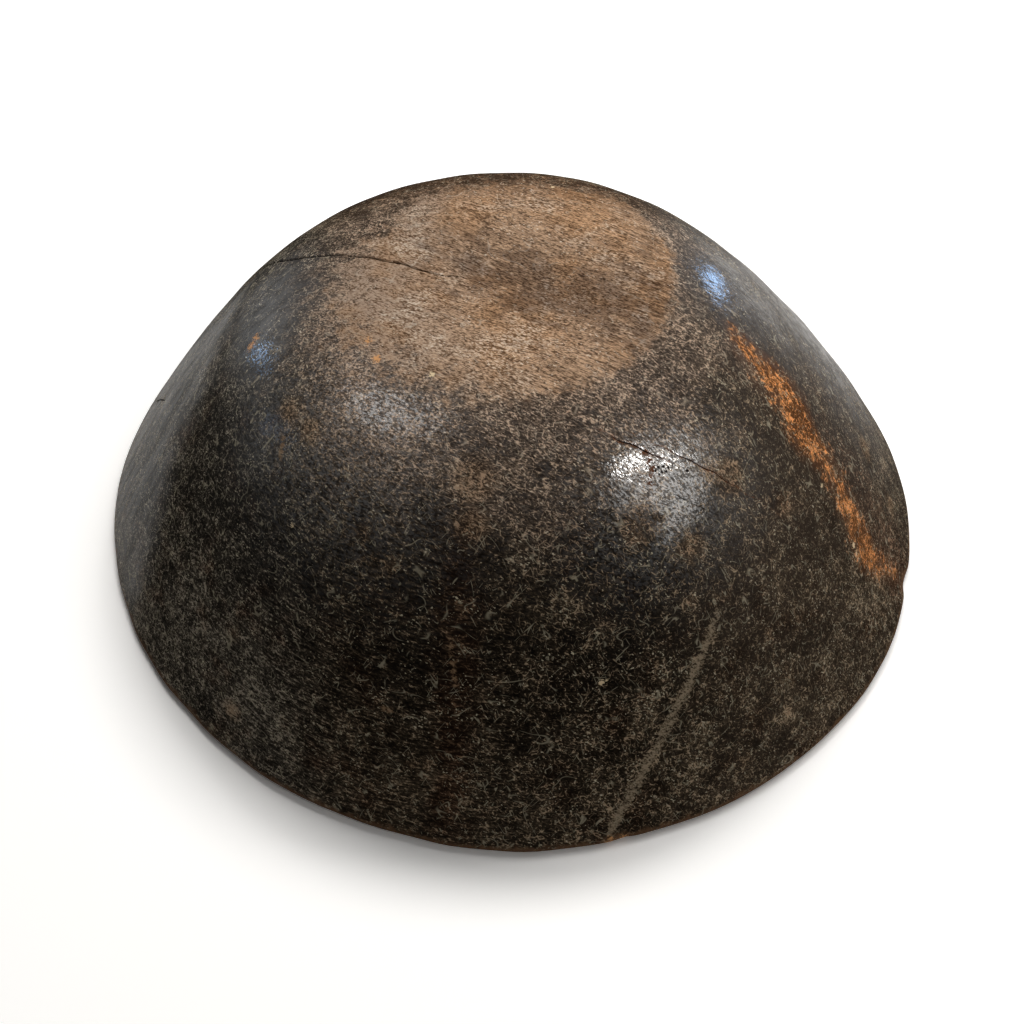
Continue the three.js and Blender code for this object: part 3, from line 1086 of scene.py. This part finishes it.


# Colour of ground, flecks and sparks, with a paler ground on the right wall that is partly painted light,
# then on the foot a grey haze that is a painted sheen, gold, dust, and smudges that carry painted shade in
# its trough.
def patinaColour(tree, parts, zones, flecks):
    def zoned(part):
        worn = blend(tree, zones["shoulder"], patina["wall"][part], patina["shoulder"][part])
        return blend(tree, zones["foot"], worn, patina["foot"][part])

    def layered(colour, *layers):
        for name, mask in layers:
            colour = blend(tree, mask, colour, patina[name])
        return colour

    x, foot = parts["x"], zones["foot"]
    # paler ground of the right wall: a hazier brown, partly painted light from the right
    hazyLit = times(
        tree, over(tree, "hazyLitRight", x), without(tree, foot), over(tree, "hazyLitHeight", parts["height"]))
    deep = layered(
        zoned("deep"), ("hazyLitGround", hazyLit), ("redGround", zones["red"]),
        ("backDeep", share(tree, "backGround", zones["back"])), ("streakGround", zones["streakGround"]))
    fleck = layered(
        zoned("fleck"), ("coolFleck", zones["cool"]), ("redFleck", zones["red"]),
        ("stainFleck", share(tree, "stainFlecks", zones["stain"])),
        ("tanFleck", share(tree, "tanFlecks", zones["tan"])), ("backFleck", zones["back"]),
        ("streakFleck", zones["streak"]))
    sparks = over(tree, "sparks", mixed(tree, "sparks", parts))
    sparks = largest(tree, sparks, *(share(tree, mark, parts[mark]) for mark in ("scratches", "worms")))
    colour = blend(tree, sparks, blend(tree, flecks, deep, fleck), zoned("spark"))

    lines = parts["footLines"]
    # painted sheen: a grey haze over the left of the foot
    paintedSheen = times(tree, over(tree, "paintedSheenLeft", x), foot, over(tree, "paintedSheenLines", lines))
    colour = blend(tree, paintedSheen, colour, patina["footPaintedSheen"])
    gold = share(tree, "gold", times(tree, parts["gold"], foot))
    colour = blend(tree, gold, colour, patina["footGold"], "MULTIPLY")
    dustLines = over(tree, "dustLines", mixed(tree, "footDust", parts, lines))
    colour = blend(tree, times(tree, parts["dust"], foot, dustLines), colour, patina["foot"]["spark"])
    # smudges along the grain, with painted shade in the foot's trough
    smudgeAndShade = mixed(tree, "smudgeAndShade", parts, over(tree, "smudgeRight", x))
    smudgeAndShade = times(tree, over(tree, "smudgeAndShade", smudgeAndShade), foot)
    return blend(tree, smudgeAndShade, colour, patina["footSmudgeAndShade"], "MULTIPLY")


# Scuff, bare rim, spots and cracks laid over the colour, and the mask of what is dull.
def patinaDamage(tree, place, parts, zones, colour):
    frayed = parts["frayed"]
    scuff = over(tree, "scuff", mixed(tree, "scuffEdge", parts, field(tree, "scuffField")))
    colour = blend(tree, times(tree, scuff, over(tree, "scuffFibres", frayed)), colour, patina["scuff"])
    belowRim = calc(tree, "SUBTRACT", patina["rimHeight"], parts["height"])
    rim = ragged(tree, place, belowRim, *patinaEdges["rim"])
    colour = blend(tree, share(tree, "rim", rim), colour, patina["rimWood"])
    dull = zones["foot"]
    plainPlace = field(tree, "plainPlace", "Vector")
    for kind in patinaSpots.values():
        inside = weighted(tree, insideSpots(tree, plainPlace, kind["spots"]), (frayed, kind["ragged"]))
        mask = ramp(tree, inside, -kind["soft"], kind["soft"])
        colour = blend(tree, times(tree, mask, kind["strength"]), colour, kind["colour"])
        dull = largest(tree, dull, times(tree, mask, kind["dull"]))

    crack = 0.0
    rust = 0.0
    for sheet in range(crackSetup["sheets"]):
        gap = calc(tree, "ABSOLUTE", field(tree, f"crackSide{sheet}"))
        inside = calc(tree, "SUBTRACT", field(tree, f"crackOpening{sheet}"), gap)
        crack = largest(tree, over(tree, "crack", inside), crack)
        if sheet in crackSetup["rustySheets"]:
            rust = largest(tree, ragged(tree, place, inside, *patinaEdges["rust"]), rust)
    colour = blend(tree, share(tree, "rust", rust), colour, patina["rust"])
    colour = blend(tree, crack, colour, patina["crack"])
    dullStreak = share(tree, "dullStreak", zones["streak"])
    dullTan = share(tree, "dullTan", zones["tan"])
    return colour, largest(tree, dull, dullStreak, dullTan, crack, rust)


def patinaMaterial():
    material, tree, metres = startMaterial("oldPatina")
    place = inMillimetres(tree, metres)
    parts = patinaParts(tree, place)
    zones = patinaZones(tree, place, parts)
    flecks = patinaFlecks(tree, parts, zones)
    colour = patinaColour(tree, parts, zones, flecks)
    colour, dull = patinaDamage(tree, place, parts, zones, colour)
    groundRough, fleckRough, dullRough = patina["fleckRough"]
    rough = blendValue(tree, dull, blendValue(tree, flecks, groundRough, fleckRough), dullRough)
    sheen = times(tree, parts["sheen"], over(tree, "rubbing", mixed(tree, "rubbing", parts)))
    glossy = times(tree, field(tree, "polishField"), over(tree, "glitter", mixed(tree, "glitter", parts)))
    polish = times(tree, calc(tree, "ADD", glossy, sheen), without(tree, dull))
    endMaterial(tree, place, patina, colour, rough, polish, mixed(tree, "relief", parts))
    return material


# Finish of the hollow: smoother wood stained by use

hollowFinish = {
    "grain": (0.8, 6.0, 30.0),  # width, stretch, seed
    "speckleStart": 0.5,
    "speckle": {"Fine": 1.2, "Middle": 1.0, "Coarse": 0.8},  # weight of each size of grain
    "relief": {"Fine": 1.0, "Middle": 1.5},
    "stained": (36.0, 20.0, 0.36, 0.64),  # blotches: size, seed, levels of noise between which they come in
    "polished": (40.0, 70.0, 0.5, 0.8),
    "pores": (0.5, 0.0),  # speckle over which pores come in
    "rough": (0.45, 0.68),  # roughness at no speckle and at full speckle
    "wood": srgb(118, 90, 65),
    "stain": srgb(64, 48, 36),
    "pore": srgb(40, 31, 24),
    "reliefDepth": 0.1,
    "wrinkle": 2.0,
    "wrinkleDepth": 0.05,
    "coatRoughness": 0.3,
    "coatIor": 1.5,
    "specular": 0.2,
}


def hollowMaterial():
    material, tree, metres = startMaterial("hollowWood")
    place = inMillimetres(tree, metres)
    fibre = grain(tree, place, "fibres", *hollowFinish["grain"])

    def grainSum(start, weights):
        return weighted(tree, start, *((fibre[size], weight) for size, weight in weights.items()))

    speckle = grainSum(hollowFinish["speckleStart"], hollowFinish["speckle"])
    stain = blotch(tree, place, *hollowFinish["stained"])
    colour = blend(tree, stain, hollowFinish["stain"], hollowFinish["wood"])
    colour = blend(tree, ramp(tree, speckle, *hollowFinish["pores"]), colour, hollowFinish["pore"])
    rough = blendValue(tree, speckle, *hollowFinish["rough"])
    coat = blotch(tree, place, *hollowFinish["polished"])
    relief = grainSum(0.0, hollowFinish["relief"])
    endMaterial(tree, place, hollowFinish, colour, rough, coat, relief)
    return material


bowl.data.materials.append(patinaMaterial())
bowl.data.materials.append(hollowMaterial())
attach(bowl, "root")
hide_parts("bowl")
print("finishes made")


# Floor, world and lamps

stageSetup = {
    "floorSize": 6000.0,
    "floorColour": 0.82,
    "floorSeen": 1.4,  # to the camera, so that the floor is white where nothing shades it
    "backdrop": (350.0, 700.0),  # distances over which the floor turns into plain white backdrop
    "worldLight": 0.06,
    "lampAim": 80.0,  # height on the bowl that the lamps face
}

# Each lamp: turn and rise as seen from the bowl, distance, width and height, the brightness that it gives a
# white card facing it, colour. Matt lamps light the surfaces. Gloss lamps only show in the gloss, as a lamp
# or window in the room does.
warm = (1.0, 0.98, 0.95)
white = (1.0, 1.0, 1.0)
blue = (0.35, 0.6, 1.0)
mattLamps = {
    "rightKey": (28, 52, 1800, (900, 300), 0.2, warm),
    "middleKey": (62, 52, 1800, (900, 300), 0.34, warm),
    "backKey": (96, 54, 1800, (900, 300), 0.44, warm),
    "frontFill": (-40, 38, 1500, (900, 900), 0.12, warm),
}
glossLamps = {
    "frontGlint": (-29, 48, 1100, (110, 110), 0.19, warm),
    "sideGlint": (-21, 39, 1100, (60, 80), 0.08, warm),
    "frontWindow": (-27, 38, 1200, (720, 720), 0.4, warm),
    "leftWindow": (172, 62, 1500, (640, 640), 0.18, white),
    "leftSky": (150, 7, 1200, (50, 60), 0.016, blue),
    "lowSky": (177, 15, 1200, (160, 90), 0.004, blue),
    "rightSky": (52, 6, 1200, (160, 160), 0.06, blue),
}


# 1 for rays from the camera, or by way of gloss or glass.
def seenRay(tree):
    path = placeNode(tree, "ShaderNodeLightPath").outputs
    return largest(tree, path["Is Camera Ray"], path["Is Glossy Ray"], path["Is Transmission Ray"])


def makeFloor(setup):
    half = setup["floorSize"] * mm / 2
    u, v = np.meshgrid([-half, half], [-half, half])
    mesh = bpy.data.meshes.new("floor")
    mesh.from_pydata(np.column_stack([u.ravel(), v.ravel(), np.zeros(4)]).tolist(), [], [(0, 1, 3, 2)])
    floor = bpy.data.objects.new("floor", mesh)
    scene.collection.objects.link(floor)
    material, tree, place = startMaterial("paleFloor")
    seen = seenRay(tree)
    shade = blendValue(tree, seen, setup["floorColour"], setup["floorSeen"])
    matt = placeNode(tree, "ShaderNodeBsdfDiffuse", {"Color": shade})
    away = placeNode(tree, "ShaderNodeVectorMath", {0: place}, operation="LENGTH").outputs["Value"]
    nearEdge, farEdge = (edge * mm for edge in setup["backdrop"])
    far = times(tree, ramp(tree, away, nearEdge, farEdge), seen)
    plain = placeNode(tree, "ShaderNodeEmission", {"Strength": 1.0})
    both = placeNode(tree, "ShaderNodeMixShader", {0: far, 1: matt.outputs[0], 2: plain.outputs[0]})
    placeNode(tree, "ShaderNodeOutputMaterial", {"Surface": both.outputs[0]})
    mesh.materials.append(material)


def makeWorld(setup):
    world = bpy.data.worlds.new("paleRoom")
    world.use_nodes = True
    tree = world.node_tree
    tree.nodes.clear()
    strength = blendValue(tree, seenRay(tree), setup["worldLight"], 1.0)
    room = placeNode(tree, "ShaderNodeBackground", {"Color": (1, 1, 1, 1), "Strength": strength})
    placeNode(tree, "ShaderNodeOutputWorld", {"Surface": room.outputs[0]})
    scene.world = world


def makeLamp(name, inGloss, turn, rise, away, size, level, colour):
    turn, rise = math.radians(turn), math.radians(rise)
    away = away * mm
    data = bpy.data.lights.new(name, "AREA")
    data.shape = "ELLIPSE"
    data.size, data.size_y = (side * mm for side in size)
    data.energy = level * math.pi ** 2 * away ** 2  # watts for that level on the card
    data.color = colour
    lamp = bpy.data.objects.new(name, data)
    across = away * math.cos(rise)
    lamp.location = (
        across * math.cos(turn), across * math.sin(turn), away * math.sin(rise) + stageSetup["lampAim"] * mm)
    lamp.rotation_euler = (math.pi / 2 - rise, 0, turn + math.pi / 2)
    lamp.visible_glossy = inGloss
    lamp.visible_diffuse = not inGloss
    scene.collection.objects.link(lamp)


makeFloor(stageSetup)
makeWorld(stageSetup)
for lampName, lampSetup in mattLamps.items():
    makeLamp(lampName, False, *lampSetup)
for lampName, lampSetup in glossLamps.items():
    makeLamp(lampName, True, *lampSetup)
print("stage lit")
